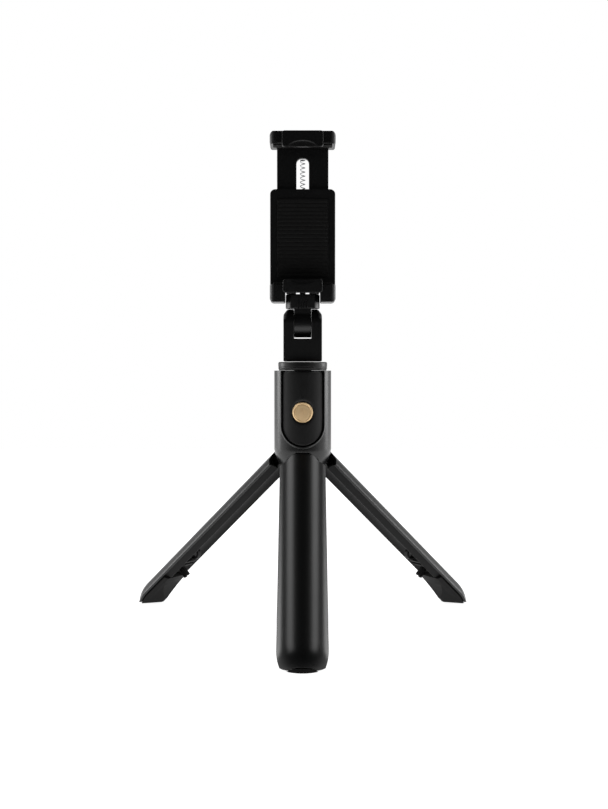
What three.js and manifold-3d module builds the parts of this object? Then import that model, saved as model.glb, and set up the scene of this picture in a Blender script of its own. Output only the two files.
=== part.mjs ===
// Selfie stick that stands on its own folding tripod legs, with a detachable remote in the grip.
// Millimetres, +Z up. The stick's axis is vertical, the front leg and the remote face -Y,
// and the origin is on the ground under the middle of the object's box.

import * as THREE from 'three';
import { mergeVertices } from 'three/addons/utils/BufferGeometryUtils.js';
import Module from 'manifold-3d';

const wasm = await Module();
wasm.setup();

// ---------------------------------------------------------------- driving dimensions
const GAP = 0.3;                    // clearance between neighbouring pieces
const STEPS = 32;                   // facets round a visible cylinder
const FINE_STEPS = 16;              // facets round a small pin, screw or button
const NOSE_STEPS = 60;              // facets round a leg's lower end

const AXIS_Y = 23.175;              // the stick's axis behind the middle of the object's box

const COLLAR_R = 14.4;              // grip collar
const COLLAR_WALL = 1.4;
const COLLAR_TOP = 129.2;
const BOWL_TOP = 89.2;              // where the collar starts to round in towards its rim
const RIM_Z = 81.4;
const RIM_R = 12.1;

const CORE_R = 12.4;                // moulded core inside the collar
const CORE_BORE = 7.6;

const SLEEVE_R = 7.3;               // fixed sleeve that hangs between the legs
const SLEEVE_BOTTOM = 10.6;
const TUBE_STEP = 0.7;              // each section's radius below the one outside it
const TUBE_WALL = 0.4;
const TUBE_COUNT = 5;
const TUBE_BOTTOM = 14.5;
const TUBE_TOP = 128.6;

const PIN_RADIUS_FROM_AXIS = 10.38; // leg hinges
const PIN_Z = 86.38;
const PIN_R = 1.1;
const KNUCKLE_R = 2.3;
const KNUCKLE_HALF = 3.4;
const LEG_SPLAY = THREE.MathUtils.degToRad(47.47);
const LEG_R = 14.18;
const LEG_WALL = 1.3;
const LEG_HALF_ANGLE = THREE.MathUtils.degToRad(54.9);
const LEG_TOP = 5.6;                // distances below the hinge pin, along the closed leg
const TONGUE_TOP = 2.5;
const SHELL_END = 125.2;
const NOSE_START = 114;             // where the skin starts to round in towards its lower end
const NOSE_DEPTH = 3.2;
const INSERT_END = 99.4;
const LEGS = { front: 0, right: 120, left: 240 };   // turn about the stick, in degrees

const REMOTE_R = 14.1;              // remote control in the collar's front
const REMOTE_HALF = 10.75;
const REMOTE_TOP = 128.7;
const REMOTE_ROUND_Z = 101.3;       // centre of its round lower end
const REMOTE_BACK_Y = -8.6;
const POCKET_FLOOR_Y = -8.3;
const POCKET_HALF = 11.2;
const BUTTON_Z = 108.1;
const BUTTON_R = 5.15;

const DISC_R = 12.6;                // head disc and yoke
const DISC_BOTTOM = 130.04;
const SKIRT_BOTTOM = 129.5;         // a step under the disc closes the gap above the collar
const DISC_TOP = 133.62;
const YOKE_HALF_X = 9.85;
const YOKE_HALF_Y = 7.3;
const TILT_Z = 153.2;
const SLOT_HALF = 4.5;
const SLOT_FLOOR = 145.4;
const TONGUE_HALF = 4.3;
const TONGUE_R = 7.0;
const BLOCK_BOTTOM = 160.9;
const BLOCK_TOP = 168.1;
const BLOCK_HALF_X = 8.7;
const BLOCK_HALF_Y = 7.0;
const TURN_SCREW_R = 1.5;

const JAW_HALF = 16.7;              // phone clamp
const JAW_FRONT_Y = -10.4;
const LIP_FRONT_Y = -13.1;
const LOWER_SHELF = 172.9;
const LOWER_UNDERSIDE = 170.0;
const WING_BOTTOM = 163.9;
const WING_INNER = 9.1;
const LIP_HALF = 10.0;
const BACK_FRONT_Y = -1.9;
const BACK_REAR_Y = 5.0;
const BACK_TOP = 222.0;
const CAVITY_HALF = 13.6;
const UPPER_SHELF = 243.5;
const UPPER_TOP = 250.0;
const SLIDER_HALF = 13.2;
const SLIDER_BOTTOM = 194.0;
const SPRING_R = 1.4;
const PAD = 0.8;

// ---------------------------------------------------------------- materials
function material(color, roughness, metalness = 0) {
  return () => new THREE.MeshStandardMaterial({ color, roughness, metalness });
}

const glossBlack = material(0x101113, 0.18);
const satinBlack = material(0x1a1b1b, 0.45);
const mattBlack = material(0x161616, 0.65);
const rubber = material(0x121212, 0.85);
const steel = material(0xb9bbbe, 0.28, 1);
const gold = material(0xb08a58, 0.35, 1);
const boardGreen = material(0x1f4d33, 0.6);

// ---------------------------------------------------------------- solids
function solid(geometry) {
  const bare = geometry.index ? geometry.toNonIndexed() : geometry.clone();
  bare.deleteAttribute('normal');
  bare.deleteAttribute('uv');
  const merged = mergeVertices(bare, 1e-4);
  return new wasm.Manifold(new wasm.Mesh({
    numProp: 3,
    vertProperties: new Float32Array(merged.attributes.position.array),
    triVerts: new Uint32Array(merged.index.array),
  }));
}

function geometryOf(body) {
  const { vertProperties, triVerts } = body.getMesh();
  const geometry = new THREE.BufferGeometry();
  geometry.setAttribute('position', new THREE.BufferAttribute(new Float32Array(vertProperties), 3));
  geometry.setIndex(new THREE.BufferAttribute(new Uint32Array(triVerts), 1));
  return geometry;
}

function piece(name, body, makeMaterial) {
  const mesh = new THREE.Mesh(geometryOf(body), makeMaterial());
  mesh.name = name;
  return mesh;
}

function box(x0, x1, y0, y1, z0, z1) {
  const geometry = new THREE.BoxGeometry(x1 - x0, y1 - y0, z1 - z0);
  return solid(geometry.translate((x0 + x1) / 2, (y0 + y1) / 2, (z0 + z1) / 2));
}

// A solid of revolution about Z: its profile is [radius, z] points, starting and ending on the axis.
function turned(profile, steps = STEPS) {
  const points = profile.map(([r, z]) => new THREE.Vector2(r, z));
  return solid(new THREE.LatheGeometry(points, steps).rotateX(Math.PI / 2));
}

function rod(r, z0, z1, steps = FINE_STEPS) {
  return turned([[0, z0], [r, z0], [r, z1], [0, z1]], steps);
}

function ring(outer, inner, z0, z1, steps = STEPS) {
  return turned([[inner, z0], [outer, z0], [outer, z1], [inner, z1], [inner, z0]], steps);
}

function alongX(body) {
  return body.rotate([0, 90, 0]);
}

function alongY(body) {
  return body.rotate([-90, 0, 0]);
}

// Extrudes an outline drawn in X and Z from y0 to y1.
function extrudeXZ(shape, y0, y1, curveSegments = 8) {
  const geometry = new THREE.ExtrudeGeometry(shape, { depth: y1 - y0, bevelEnabled: false, curveSegments });
  return solid(geometry.rotateX(Math.PI / 2).translate(0, y1, 0));
}

// Extrudes an outline drawn in Y and Z from -half to +half in X.
function extrudeYZ(shape, half, curveSegments = 12) {
  const geometry = new THREE.ExtrudeGeometry(shape, { depth: 2 * half, bevelEnabled: false, curveSegments });
  return solid(geometry.rotateX(Math.PI / 2).rotateZ(Math.PI / 2).translate(-half, 0, 0));
}

// Extrudes an outline drawn in X and Y from z0 to z1.
function extrudeXY(shape, z0, z1, curveSegments = 8) {
  const geometry = new THREE.ExtrudeGeometry(shape, { depth: z1 - z0, bevelEnabled: false, curveSegments });
  return solid(geometry.translate(0, 0, z0));
}

function outline(points) {
  return new THREE.Shape(points.map(([a, b]) => new THREE.Vector2(a, b)));
}

function roundedRect(x0, x1, y0, y1, r) {
  const shape = new THREE.Shape();
  shape.moveTo(x0 + r, y0);
  shape.lineTo(x1 - r, y0);
  shape.absarc(x1 - r, y0 + r, r, -Math.PI / 2, 0);
  shape.absarc(x1 - r, y1 - r, r, 0, Math.PI / 2);
  shape.absarc(x0 + r, y1 - r, r, Math.PI / 2, Math.PI);
  shape.absarc(x0 + r, y0 + r, r, Math.PI, 1.5 * Math.PI);
  return shape;
}

// A stretch of pipe wall between two radii, centred on -Y.
function sector(outer, inner, halfAngle, z0, z1, steps = 12) {
  const middle = -Math.PI / 2;
  const shape = new THREE.Shape();
  shape.absarc(0, 0, outer, middle - halfAngle, middle + halfAngle);
  shape.absarc(0, 0, inner, middle + halfAngle, middle - halfAngle, true);
  return extrudeXY(shape, z0, z1, steps);
}

// ---------------------------------------------------------------- grip collar
// The remote's outline seen from the front: straight sides, a flat top and a round lower end.
function remoteOutline(half, top) {
  const shape = new THREE.Shape();
  shape.moveTo(half, top);
  shape.lineTo(-half, top);
  shape.absarc(0, REMOTE_ROUND_Z, half, Math.PI, 2 * Math.PI);
  return shape;
}

function pocket() {
  return extrudeXZ(remoteOutline(POCKET_HALF, COLLAR_TOP + 5), -COLLAR_R - 2, POCKET_FLOOR_Y, 12);
}

// The bell-shaped notch that each leg's tongue swings through.
function rimNotch() {
  const shape = outline([
    [-3.6, 87.8], [-4.9, 86.3], [-7.7, 84.5], [-9.8, RIM_Z - 1],
    [9.8, RIM_Z - 1], [7.7, 84.5], [4.9, 86.3], [3.6, 87.8],
  ]);
  return extrudeXZ(shape, -COLLAR_R - 2, -RIM_R + 2.6);
}

function collarShell() {
  const bowl = [];
  const bowlSteps = 5;
  for (let i = 0; i <= bowlSteps; i += 1) {
    const u = 1 - i / bowlSteps;
    bowl.push([COLLAR_R - (COLLAR_R - RIM_R) * u * u, BOWL_TOP - (BOWL_TOP - RIM_Z) * u]);
  }
  const inner = COLLAR_R - COLLAR_WALL;
  let body = turned([
    [RIM_R - 1.2, RIM_Z], ...bowl, [COLLAR_R, COLLAR_TOP - 0.5], [COLLAR_R - 0.5, COLLAR_TOP],
    [inner, COLLAR_TOP], [inner, BOWL_TOP - 1], [inner - 0.2, 85.8], [RIM_R - 1.2, 83.4], [RIM_R - 1.2, RIM_Z],
  ], 48);
  for (const turn of Object.values(LEGS)) {
    body = body.subtract(rimNotch().rotate([0, 0, turn]));
  }
  return body.subtract(pocket());
}

// The core carries the sleeve in its bore and the leg hinges in three slots round its foot.
function collarCore() {
  const waist = 10.2;
  let body = turned([
    [CORE_BORE, 84.4], [10.4, 84.4], [CORE_R - 0.6, 85.2], [CORE_R, 86.4], [CORE_R, 95], [waist, 97],
    [waist, 123.5], [CORE_R, 125], [CORE_R, 127.3], [CORE_BORE, 127.3], [CORE_BORE, 84.4],
  ]);
  const slot = box(-KNUCKLE_HALF - 0.4, KNUCKLE_HALF + 0.4, -15, -7, 80, PIN_Z + KNUCKLE_R + 0.5);
  const pinHole = alongX(rod(PIN_R + 0.2, -6, 6)).translate([0, -PIN_RADIUS_FROM_AXIS, PIN_Z]);
  for (const turn of Object.values(LEGS)) {
    body = body.subtract(slot.add(pinHole).rotate([0, 0, turn]));
  }
  return body.subtract(pocket());
}

function collarCap() {
  return ring(COLLAR_R - COLLAR_WALL - GAP, SLEEVE_R - 0.3, 127.6, 129.0).subtract(pocket());
}

function hingePin(turn) {
  const pin = alongX(rod(PIN_R, -5.2, 5.2)).translate([0, -PIN_RADIUS_FROM_AXIS, PIN_Z]);
  return pin.rotate([0, 0, turn]);
}

// ---------------------------------------------------------------- sleeve and telescopic tubes
function sleeve() {
  return ring(SLEEVE_R, SLEEVE_R - 0.45, SLEEVE_BOTTOM, 127.2);
}

function sleeveCap() {
  return turned([
    [0, 8.4], [SLEEVE_R - 0.8, 8.4], [SLEEVE_R, 9.2], [SLEEVE_R, SLEEVE_BOTTOM - GAP],
    [6.5, SLEEVE_BOTTOM - GAP], [6.5, 13.5], [0, 13.5],
  ]);
}

function tube(index) {
  const outer = SLEEVE_R - 0.75 - TUBE_STEP * index;
  const last = index === TUBE_COUNT - 1;
  const top = last ? DISC_TOP - 1.0 : TUBE_TOP + 0.3 * index;
  return ring(outer, outer - TUBE_WALL, TUBE_BOTTOM + 0.5 * index, top, 32);
}

// ---------------------------------------------------------------- legs
// A leg is drawn closed, hanging beside the stick's front, then opened about its hinge pin.
function legZ(distance) {
  return PIN_Z - distance;
}

// How far below the pin the ground lies, along the leg, for a fibre at this radius.
function groundDistance(radius) {
  return (PIN_Z + Math.sin(LEG_SPLAY) * (radius - PIN_RADIUS_FROM_AXIS)) / Math.cos(LEG_SPLAY);
}

// The outline of a fibre at this radius as it rounds in with the skin, from NOSE_START to SHELL_END.
function noseCurve(radius) {
  const steps = 5;
  const sharpness = 2.5;
  const points = [];
  for (let i = 0; i <= steps; i += 1) {
    const along = i / steps;
    points.push([radius - NOSE_DEPTH * along ** sharpness, legZ(NOSE_START + (SHELL_END - NOSE_START) * along)]);
  }
  return points;
}

function legShell() {
  const inner = LEG_R - LEG_WALL;
  const low = legZ(LEG_TOP);
  const top = legZ(TONGUE_TOP);
  const below = legZ(SHELL_END + 1);
  const outside = noseCurve(LEG_R).reverse();
  const skin = turned([...outside, [LEG_R, top], [inner, top], ...noseCurve(inner), outside[0]], NOSE_STEPS);
  const beside = 8.6;
  const keep = outline([
    [-20, below], [20, below], [20, low], [beside, low], [5.4, top], [-5.4, top], [-beside, low], [-20, low],
  ]);
  const clear = 1.2;
  const offGround = outline([
    [-20, legZ(groundDistance(20) - clear)], [-4, legZ(groundDistance(4) - clear)], [-4, 90], [-20, 90],
  ]);
  const third = sector(LEG_R + 1, 5, LEG_HALF_ANGLE, below, top + 1);
  return skin.intersect(third).intersect(extrudeXZ(keep, -20, 0)).intersect(extrudeYZ(offGround, 20));
}

// The liner is a box-section channel that nests round the sleeve, with the hinge knuckle on top
// and, past the sleeve's end, ribs and a pair of catches that meet those of the other legs.
function legInsert() {
  const outer = LEG_R - LEG_WALL - 0.38;
  const inner = SLEEVE_R + 0.5;
  const half = THREE.MathUtils.degToRad(50);
  const bore = THREE.MathUtils.degToRad(43);
  const top = legZ(LEG_TOP);
  const bottom = legZ(INSERT_END);
  let body = sector(outer, inner, half, bottom, top);
  body = body.subtract(sector(outer - 1.2, inner + 1.1, bore, bottom - 1, top + 1));
  const knuckle = alongX(rod(KNUCKLE_R, -KNUCKLE_HALF, KNUCKLE_HALF));
  const neck = box(-KNUCKLE_HALF, KNUCKLE_HALF, -1.9, KNUCKLE_R, -12, 0);
  const pinHole = alongX(rod(PIN_R + 0.3, -10, 10));
  const hinge = knuckle.add(neck).translate([0, -PIN_RADIUS_FROM_AXIS, PIN_Z]);
  body = body.add(hinge).subtract(pinHole.translate([0, -PIN_RADIUS_FROM_AXIS, PIN_Z]));
  body = body.add(loopCatch());
  for (const distance of [86.5, 89.5]) {
    body = body.add(box(-5.5, 5.5, -9, -5.6, legZ(distance + 1), legZ(distance)));
  }
  for (const distance of [92.4, 94.6]) {
    body = body.add(box(-1.2, 1.2, -8.5, -1.3, legZ(distance + 0.9), legZ(distance)));
  }
  return body;
}

// A small round loop, past the sleeve's end, that a closed leg is held by.
function loopCatch() {
  const loop = alongX(ring(3.1, 1.9, -1.6, 1.6, FINE_STEPS));
  return loop.translate([0, -7.0, legZ(81.5)]).subtract(box(-3, 3, -20, -8.6, 0, 20));
}

// The toe is a third of a round foot. Its lower face lies flat on the ground when the leg is open.
function legToe() {
  const side = new THREE.Shape();
  const apex = 0.9;
  const start = INSERT_END + GAP;
  side.moveTo(-LEG_R, legZ(start));
  side.lineTo(-5.2, legZ(start));
  side.quadraticCurveTo(-4.4, legZ(start + 9), -apex, legZ(groundDistance(apex) - 3.6));
  side.lineTo(-apex, legZ(groundDistance(apex)));
  side.lineTo(-LEG_R, legZ(groundDistance(LEG_R)));
  side.lineTo(-LEG_R, legZ(start));
  const wedgeGap = 0.28;
  const wedge = new THREE.Shape();
  const reach = 11.4;
  const slope = Math.tan(Math.PI / 6);
  wedge.moveTo(0, -wedgeGap * 2);
  wedge.lineTo(-reach, -reach * slope - wedgeGap * 1.2);
  wedge.lineTo(-reach, -Math.sqrt(LEG_R ** 2 - reach ** 2));
  wedge.absarc(0, 0, LEG_R, Math.PI + Math.acos(reach / LEG_R), 2 * Math.PI - Math.acos(reach / LEG_R));
  wedge.lineTo(reach, -reach * slope - wedgeGap * 1.2);
  const foot = extrudeYZ(side, 15).intersect(extrudeXY(wedge, -60, 0, 12));
  const plugR = LEG_R - LEG_WALL - 0.38;
  const rim = legZ(SHELL_END + GAP);
  const plug = noseCurve(plugR).reverse();
  const round = turned([
    [0, legZ(131)], [9, legZ(129.5)], [10.35, legZ(127.75)], [11, rim], [plug[0][0], rim],
    ...plug, [plugR, legZ(start - 1)], [0, legZ(start - 1)],
  ], NOSE_STEPS);
  return foot.intersect(round);
}

function legGroup(side, turn) {
  const closed = new THREE.Group();
  closed.add(
    piece(`leg_${side}_shell`, legShell(), glossBlack),
    piece(`leg_${side}_liner`, legInsert(), mattBlack),
    piece(`leg_${side}_toe`, legToe(), rubber),
  );
  closed.position.set(0, PIN_RADIUS_FROM_AXIS, -PIN_Z);
  const opened = new THREE.Group();
  opened.add(closed);
  opened.rotation.x = -LEG_SPLAY;
  opened.position.set(0, -PIN_RADIUS_FROM_AXIS, PIN_Z);
  const around = new THREE.Group();
  around.add(opened);
  around.rotation.z = THREE.MathUtils.degToRad(turn);
  return around;
}

// ---------------------------------------------------------------- remote control
function remoteSolid(half, top, radius, y0, y1) {
  return extrudeXZ(remoteOutline(half, top), y0, y1, 12).intersect(rod(radius, 60, 140, 48));
}

function remoteFront() {
  const wall = 1.1;
  const back = REMOTE_BACK_Y - 0.9;
  const outer = remoteSolid(REMOTE_HALF, REMOTE_TOP, REMOTE_R, -REMOTE_R, back);
  const inner = remoteSolid(REMOTE_HALF - wall, REMOTE_TOP - wall, REMOTE_R - wall, -REMOTE_R, back + 1);
  const hole = alongY(rod(BUTTON_R + 0.25, -16, -8, STEPS)).translate([0, 0, BUTTON_Z]);
  return outer.subtract(inner).subtract(hole);
}

function remoteBack() {
  return remoteSolid(REMOTE_HALF, REMOTE_TOP, REMOTE_R, REMOTE_BACK_Y - 0.75, REMOTE_BACK_Y);
}

function remoteButton() {
  const cap = turned([[0, -14.2], [BUTTON_R - 0.4, -14.2], [BUTTON_R, -13.8], [BUTTON_R, -12.6], [0, -12.6]]);
  const boss = rod(1.9, -12.7, -11.65);
  const ears = box(-2, 2, -12.7, -12.1, -6.2, 6.2);
  return alongY(cap.add(boss)).add(ears).translate([0, 0, BUTTON_Z]);
}

function remoteBoard() {
  return box(-7, 7, -10.5, -9.75, 95.5, 113.4);
}

function remoteDome() {
  return alongY(turned([[0, -11.1], [1.6, -11.1], [2.6, -10.7], [0, -10.7]], FINE_STEPS))
    .translate([0, 0, BUTTON_Z]);
}

function remoteCell() {
  return alongY(rod(6.25, -11.2, -9.65, STEPS)).translate([0, 0, 120.2]);
}

// ---------------------------------------------------------------- head disc, yoke and neck
function headDisc() {
  const body = turned([
    [0, DISC_BOTTOM], [DISC_R - 0.4, DISC_BOTTOM], [DISC_R, DISC_BOTTOM + 0.4],
    [DISC_R, DISC_TOP - 0.6], [DISC_R - 0.6, DISC_TOP], [0, DISC_TOP],
  ]);
  const lastTube = SLEEVE_R - 0.75 - TUBE_STEP * (TUBE_COUNT - 1);
  const skirt = ring(DISC_R - 0.6, SLEEVE_R + 0.7, SKIRT_BOTTOM, DISC_BOTTOM + 0.1);
  return body.add(skirt).subtract(rod(lastTube + GAP, DISC_BOTTOM - 1, DISC_TOP - 0.7, STEPS));
}

function yoke() {
  const bottom = DISC_TOP + GAP;
  const side = new THREE.Shape();
  side.moveTo(-YOKE_HALF_Y, bottom);
  side.lineTo(YOKE_HALF_Y, bottom);
  side.absarc(0, TILT_Z, YOKE_HALF_Y, 0, Math.PI);
  const front = new THREE.Shape();
  const top = TILT_Z + YOKE_HALF_Y + 0.1;
  const shoulder = 2.2;
  front.moveTo(-YOKE_HALF_X, bottom - 1);
  front.lineTo(YOKE_HALF_X, bottom - 1);
  front.absarc(YOKE_HALF_X - shoulder, top - shoulder, shoulder, 0, Math.PI / 2);
  front.absarc(-YOKE_HALF_X + shoulder, top - shoulder, shoulder, Math.PI / 2, Math.PI);
  const body = extrudeYZ(side, YOKE_HALF_X).intersect(extrudeXZ(front, -10, 10));
  const slot = box(-SLOT_HALF, SLOT_HALF, -10, 10, SLOT_FLOOR, 170);
  const hole = alongX(rod(1.8, -12, 12));
  const headSeat = alongX(rod(3.2, -12, -YOKE_HALF_X + 2.2));
  const nutSeat = alongX(rod(3.4, YOKE_HALF_X - 2.4, 12, 6));
  return body.subtract(slot).subtract(hole.add(headSeat).add(nutSeat).translate([0, 0, TILT_Z]));
}

function tiltBolt() {
  const head = rod(2.9, -9.7, -7.95).add(rod(1.5, -8.2, 9.3));
  const drive = rod(1.3, -10, -8.9, 6);
  return alongX(head.subtract(drive)).translate([0, 0, TILT_Z]);
}

function tiltNut() {
  const nut = rod(3.0, 7.75, 9.7, 6).subtract(rod(1.8, 7, 12));
  return alongX(nut).translate([0, 0, TILT_Z]);
}

function neck() {
  const side = new THREE.Shape();
  side.moveTo(-5.2, BLOCK_BOTTOM + 1);
  side.lineTo(-5.2, TILT_Z + Math.sqrt(TONGUE_R ** 2 - 5.2 ** 2));
  side.absarc(0, TILT_Z, TONGUE_R, Math.PI - Math.acos(5.2 / TONGUE_R), 2 * Math.PI + Math.acos(5.2 / TONGUE_R));
  side.lineTo(5.2, BLOCK_BOTTOM + 1);
  const tongue = extrudeYZ(side, TONGUE_HALF, 20);
  const plan = roundedRect(-BLOCK_HALF_X, BLOCK_HALF_X, -BLOCK_HALF_Y, BLOCK_HALF_Y, 3);
  let block = extrudeXY(plan, BLOCK_BOTTOM, BLOCK_TOP).intersect(rod(WING_INNER - GAP, 150, 180, 48));
  for (const x of [-2.1, -0.7, 0.7, 2.1]) {
    block = block.subtract(box(x - 0.3, x + 0.3, -8, -BLOCK_HALF_Y + 0.5, BLOCK_BOTTOM - 1, 165));
  }
  const tiltHole = alongX(rod(1.8, -8, 8)).translate([0, 0, TILT_Z]);
  return tongue.add(block).subtract(tiltHole).subtract(rod(TURN_SCREW_R + GAP, 161.6, 175));
}

// ---------------------------------------------------------------- phone clamp
// A jaw's hooked lip: it stands in front of the phone, narrower than the jaw.
function lip(half, z0, z1) {
  const front = roundedRect(-half, half, z0, z1, 1.2);
  return extrudeXZ(front, LIP_FRONT_Y, JAW_FRONT_Y + 0.1);
}

function clampBody() {
  const shelf = box(-JAW_HALF, JAW_HALF, JAW_FRONT_Y, BACK_REAR_Y, LOWER_UNDERSIDE, LOWER_SHELF);
  const jawFront = extrudeXZ(roundedRect(-JAW_HALF, JAW_HALF, WING_BOTTOM, LOWER_SHELF, 2), JAW_FRONT_Y, BACK_REAR_Y);
  const under = box(-WING_INNER, WING_INNER, -20, 20, WING_BOTTOM - 1, LOWER_UNDERSIDE);
  let body = shelf.intersect(jawFront).add(jawFront.subtract(under));
  for (const side of [-1, 1]) {
    const rib = box(-2.5, 2.5, -6, 3, BLOCK_TOP + 0.4, LOWER_UNDERSIDE + 0.5);
    body = body.add(rib.translate([5.9 * side, 0, 0]));
  }
  body = body.add(lip(LIP_HALF, 168.5, 175.2)).subtract(
    box(-LIP_HALF - 1, LIP_HALF + 1, LIP_FRONT_Y + 2.2, JAW_FRONT_Y, LOWER_SHELF, 180),
  );
  const back = extrudeXZ(
    roundedRect(-JAW_HALF, JAW_HALF, LOWER_SHELF - 4, BACK_TOP, 2.5), BACK_FRONT_Y, BACK_REAR_Y,
  );
  body = body.add(back.subtract(box(-20, 20, -20, 20, 160, LOWER_SHELF - 2)));
  body = body.subtract(box(-CAVITY_HALF, CAVITY_HALF, BACK_FRONT_Y + 1.4, 20, LOWER_SHELF, BACK_TOP + 1));
  body = body.add(alongY(rod(0.9, -0.7, 3.6)).translate([0, 0, 177.6]));
  const screwHole = rod(TURN_SCREW_R + GAP, 165, 172).add(rod(2.7, 171.1, LOWER_SHELF + 0.1));
  return body.subtract(screwHole);
}

function clampCover() {
  const plate = extrudeXZ(
    roundedRect(-JAW_HALF, JAW_HALF, 166.5, BACK_TOP, 2.5), BACK_REAR_Y + GAP, BACK_REAR_Y + 1.8,
  );
  return plate.subtract(box(-WING_INNER, WING_INNER, 0, 20, 160, LOWER_UNDERSIDE));
}

function clampScrew(x, z) {
  return alongY(rod(1.5, BACK_REAR_Y + 2.0, BACK_REAR_Y + 2.7)).translate([x, 0, z]);
}

function turnScrew() {
  return rod(2.4, 171.4, 172.7).add(rod(TURN_SCREW_R, 162, 171.5));
}

function jawPad(z0, z1) {
  return extrudeXY(roundedRect(-15, 15, -9.8, BACK_FRONT_Y - 1.4, 0.8), z0, z1);
}

function backPad() {
  return extrudeXZ(roundedRect(-13, 13, 177, 217, 1.5), BACK_FRONT_Y - PAD, BACK_FRONT_Y - 0.15);
}

function upperJaw() {
  const block = extrudeXZ(
    roundedRect(-JAW_HALF, JAW_HALF, UPPER_SHELF, UPPER_TOP, 2.4), JAW_FRONT_Y, BACK_REAR_Y + 1.8,
  );
  const hook = lip(10.4, 241.5, UPPER_TOP - 0.4);
  const room = box(-12, 12, LIP_FRONT_Y + 2.2, JAW_FRONT_Y, 240, UPPER_SHELF);
  const seat = box(-SLIDER_HALF - GAP, SLIDER_HALF + GAP, -0.4, 3.2, 240, UPPER_TOP - 1.6);
  return block.add(hook).subtract(room).subtract(seat);
}

// A flat fork: two legs run in the back box, either side of the spring.
function slider() {
  const plate = box(-SLIDER_HALF, SLIDER_HALF, -0.1, 2.9, SLIDER_BOTTOM, UPPER_TOP - 2.0);
  const slot = box(-3.2, 3.2, -1, 4, SLIDER_BOTTOM - 1, 238);
  const post = alongY(rod(0.9, 0, 2.8)).translate([0, 0, 240]);
  return plate.subtract(slot).add(post);
}

function spring() {
  return rod(SPRING_R, 179, 237.4, 12).translate([0, 1.4, 0]);
}

// ---------------------------------------------------------------- assembly
const selfieStick = new THREE.Group();
const stick = new THREE.Group();
stick.position.y = AXIS_Y;
selfieStick.add(stick);

stick.add(
  piece('collar_shell', collarShell(), glossBlack),
  piece('collar_core', collarCore(), mattBlack),
  piece('collar_cap', collarCap(), satinBlack),
  piece('sleeve', sleeve(), satinBlack),
  piece('sleeve_cap', sleeveCap(), mattBlack),
);
for (let index = 0; index < TUBE_COUNT; index += 1) {
  stick.add(piece(`tube_${index + 1}`, tube(index), steel));
}
for (const [side, turn] of Object.entries(LEGS)) {
  stick.add(piece(`hinge_pin_${side}`, hingePin(turn), steel));
  stick.add(legGroup(side, turn));
}
stick.add(
  piece('remote_front', remoteFront(), satinBlack),
  piece('remote_back', remoteBack(), satinBlack),
  piece('remote_board', remoteBoard(), boardGreen),
  piece('remote_dome', remoteDome(), steel),
  piece('remote_cell', remoteCell(), steel),
  piece('remote_button', remoteButton(), gold),
  piece('head_disc', headDisc(), satinBlack),
  piece('yoke', yoke(), satinBlack),
  piece('tilt_bolt', tiltBolt(), steel),
  piece('tilt_nut', tiltNut(), steel),
  piece('neck', neck(), satinBlack),
  piece('clamp_body', clampBody(), satinBlack),
  piece('clamp_cover', clampCover(), satinBlack),
  piece('turn_screw', turnScrew(), steel),
  piece('pad_lower', jawPad(LOWER_SHELF + 0.15, LOWER_SHELF + PAD), rubber),
  piece('pad_back', backPad(), rubber),
  piece('clamp_spring', spring(), steel),
  piece('jaw_upper', upperJaw(), satinBlack),
  piece('jaw_slider', slider(), satinBlack),
  piece('pad_upper', jawPad(UPPER_SHELF - PAD, UPPER_SHELF - 0.15), rubber),
);
let screwNumber = 1;
for (const x of [-14.9, 14.9]) {
  for (const z of [179, 217]) {
    stick.add(piece(`cover_screw_${screwNumber}`, clampScrew(x, z), steel));
    screwNumber += 1;
  }
}

export default selfieStick;
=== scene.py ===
# %% [markdown]
# # A selfie stick that stands on its own legs
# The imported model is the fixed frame: it says where each piece is and which body it moves with.
# Every visible piece gets a finer surface here, worked out in millimetres round the stick's axis,
# and a finish built from nodes. We load the frame first, because everything hangs on its bodies.

# %% Load the frame and keep its box
import math

import bmesh
import bpy
import numpy as np
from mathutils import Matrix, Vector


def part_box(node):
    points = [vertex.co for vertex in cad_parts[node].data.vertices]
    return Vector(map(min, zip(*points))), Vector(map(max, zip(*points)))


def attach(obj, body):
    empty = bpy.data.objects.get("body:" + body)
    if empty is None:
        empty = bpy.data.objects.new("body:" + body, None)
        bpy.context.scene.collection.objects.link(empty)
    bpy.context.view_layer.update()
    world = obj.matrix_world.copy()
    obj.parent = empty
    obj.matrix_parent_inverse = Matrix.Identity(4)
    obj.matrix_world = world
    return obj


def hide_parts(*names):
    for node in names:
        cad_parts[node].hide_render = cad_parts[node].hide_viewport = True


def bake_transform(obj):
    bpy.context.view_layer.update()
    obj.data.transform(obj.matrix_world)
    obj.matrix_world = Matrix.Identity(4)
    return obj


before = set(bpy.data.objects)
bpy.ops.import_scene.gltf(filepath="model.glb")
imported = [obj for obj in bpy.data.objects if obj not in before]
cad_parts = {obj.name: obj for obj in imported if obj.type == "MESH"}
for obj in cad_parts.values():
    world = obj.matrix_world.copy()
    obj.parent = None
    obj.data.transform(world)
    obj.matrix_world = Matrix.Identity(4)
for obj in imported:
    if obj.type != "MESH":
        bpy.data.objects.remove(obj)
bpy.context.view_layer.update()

MM = 0.001
sleeve_low, sleeve_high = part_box("sleeve")
AXIS_Y = (sleeve_low.y + sleeve_high.y) / 2 / MM

# %% [markdown]
# ## Camera, floor and light
# The camera stands about 58 cm in front of the stick, level with the collar's top, and looks a little
# down. Black plastic shows mostly what it mirrors, so the light matters more than the colour. Two
# softboxes stand beside and a little behind the stick and two hang overhead, which gives each round
# piece bright edges and a pair of bands. The camera's side and the ceiling stay dark.

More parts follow.
